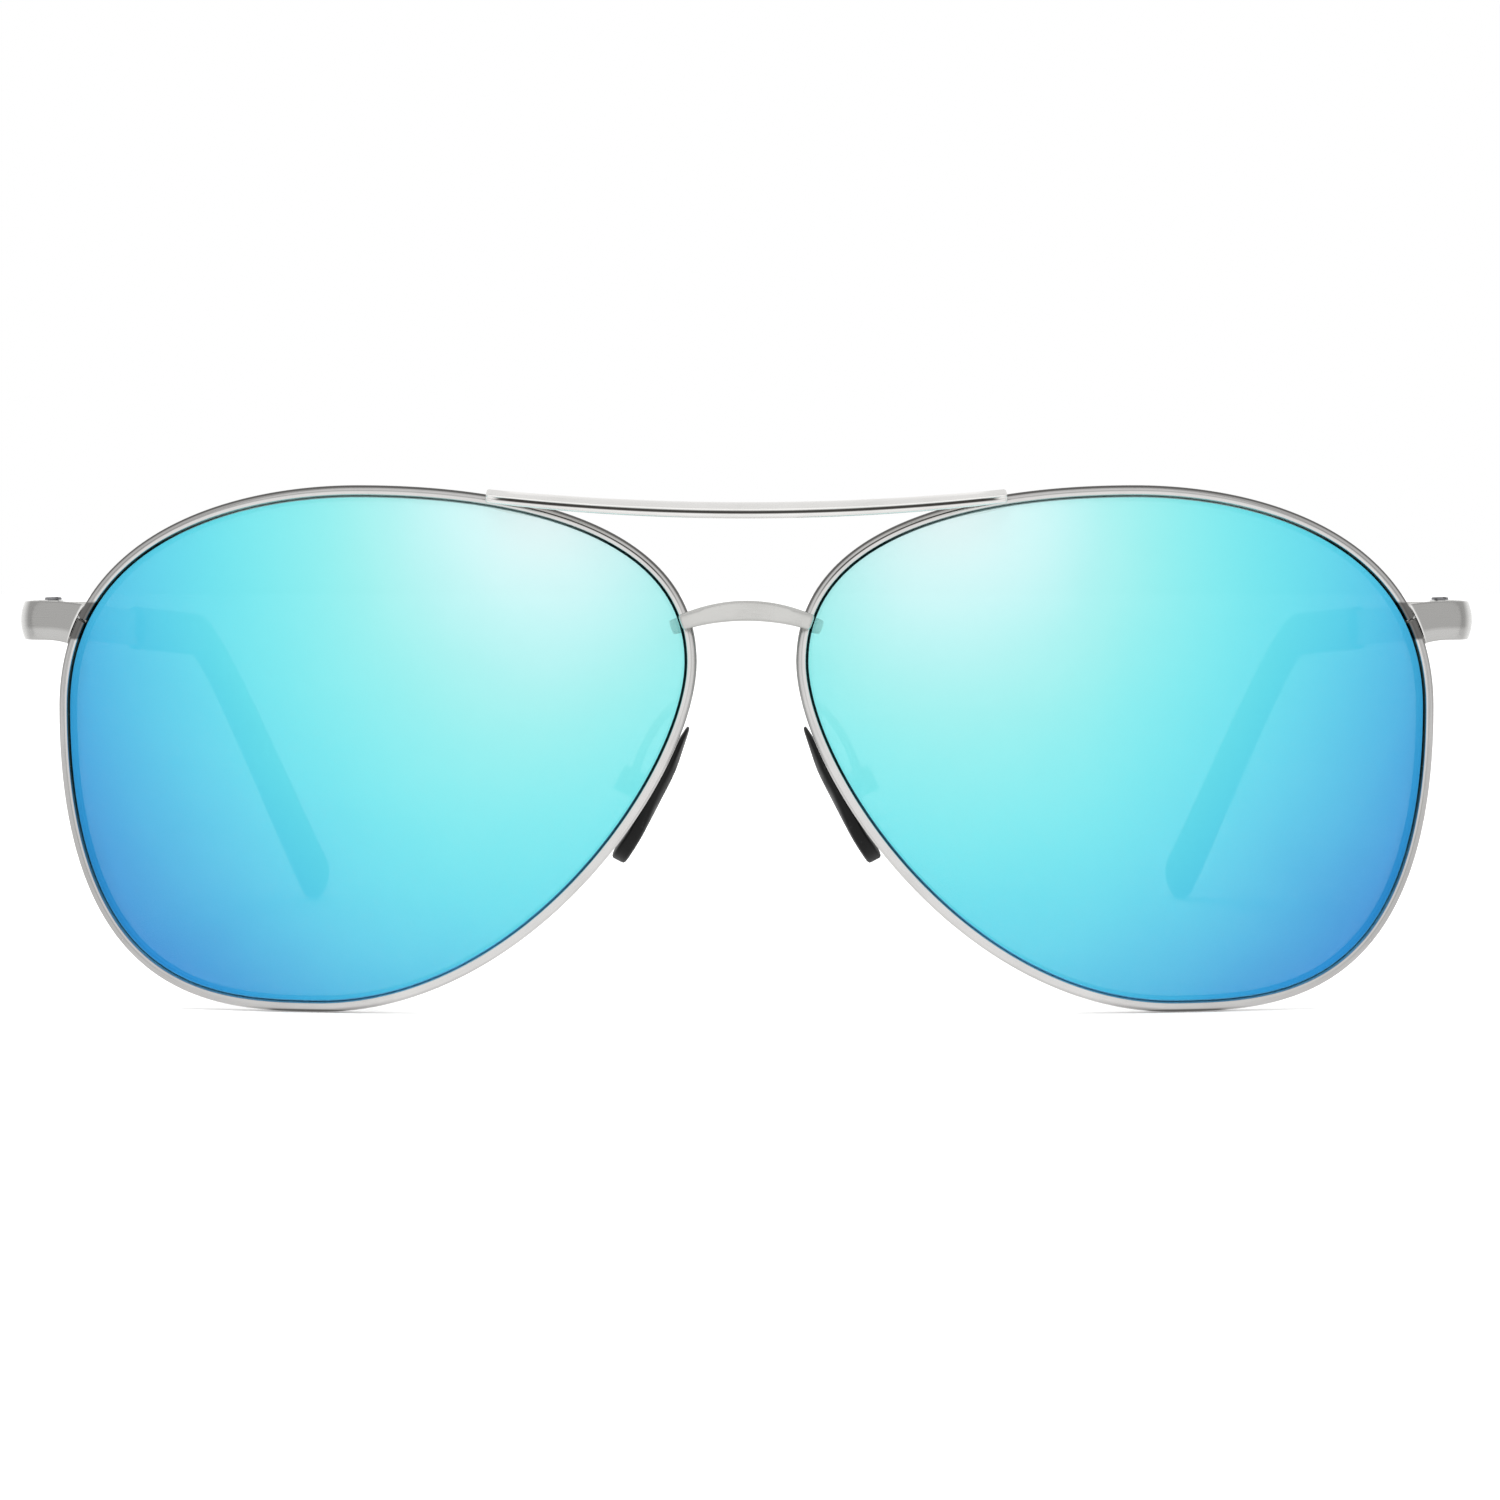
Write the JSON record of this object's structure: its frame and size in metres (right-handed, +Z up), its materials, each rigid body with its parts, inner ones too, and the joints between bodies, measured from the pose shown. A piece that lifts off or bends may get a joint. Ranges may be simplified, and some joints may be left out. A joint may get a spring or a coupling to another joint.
{
  "type": "aviator sunglasses",
  "caption": "Metal-framed aviator sunglasses with mirrored teardrop lenses, a brow bar, rocking nose pads and folding temples.",
  "frame": {"origin": "middle of the footprint, on the surface that the rims and the temple tips stand on", "axes": "+X towards the wearer's left, -Y out of the front of the lenses, +Y along the open temples, +Z up"},
  "size_m": [0.1464, 0.1412, 0.0523],
  "materials": {
    "satin_metal": "silver, fine satin polish",
    "screw_steel": "plain steel",
    "mirror_lens": "flash mirror coating from pale cyan to blue over a smoke tint",
    "black_silicone": "soft black silicone",
    "black_plastic": "black acetate, smooth",
    "clear_nylon": "natural nylon"
  },
  "bodies": {
    "front": {"bridge": "satin_metal", "brow_bar": "satin_metal", "left_closing_block_lower": "satin_metal", "left_closing_block_upper": "satin_metal", "left_closing_screw": "screw_steel", "left_endpiece": "satin_metal", "left_hinge_front": "satin_metal", "left_hinge_screw": "screw_steel", "left_hinge_washer_lower": "clear_nylon", "left_hinge_washer_upper": "clear_nylon", "left_lens": "mirror_lens", "left_pad_arm": "satin_metal", "left_pad_box": "satin_metal", "left_pad_screw": "screw_steel", "left_rim": "satin_metal", "right_closing_block_lower": "satin_metal", "right_closing_block_upper": "satin_metal", "right_closing_screw": "screw_steel", "right_endpiece": "satin_metal", "right_hinge_front": "satin_metal", "right_hinge_screw": "screw_steel", "right_hinge_washer_lower": "clear_nylon", "right_hinge_washer_upper": "clear_nylon", "right_lens": "mirror_lens", "right_pad_arm": "satin_metal", "right_pad_box": "satin_metal", "right_pad_screw": "screw_steel", "right_rim": "satin_metal"},
    "left_temple": {"left_temple_arm": "satin_metal", "left_temple_tip": "black_plastic", "left_hinge_temple": "satin_metal"},
    "left_pad": {"left_nose_pad": "black_silicone", "left_pad_insert": "screw_steel"},
    "right_temple": {"right_temple_arm": "satin_metal", "right_temple_tip": "black_plastic", "right_hinge_temple": "satin_metal"},
    "right_pad": {"right_nose_pad": "black_silicone", "right_pad_insert": "screw_steel"}
  },
  "joints": [
    {"name": "left_temple_fold", "type": "hinge", "parent": "front", "child": "left_temple", "pos_m": [0.07055, -0.05449, 0.03902], "axis": [0, 0, 1], "range_deg": [0, 85]},
    {"name": "right_temple_fold", "type": "hinge", "parent": "front", "child": "right_temple", "pos_m": [-0.07055, -0.05449, 0.03902], "axis": [0, 0, -1], "range_deg": [0, 80]},
    {"name": "left_pad_rock", "type": "hinge", "parent": "front", "child": "left_pad", "pos_m": [0.01145, -0.06053, 0.02256], "axis": [0, 1, 0], "range_deg": [-8, 8]},
    {"name": "right_pad_rock", "type": "hinge", "parent": "front", "child": "right_pad", "pos_m": [-0.01145, -0.06053, 0.02256], "axis": [0, -1, 0], "range_deg": [-8, 8]}
  ]
}
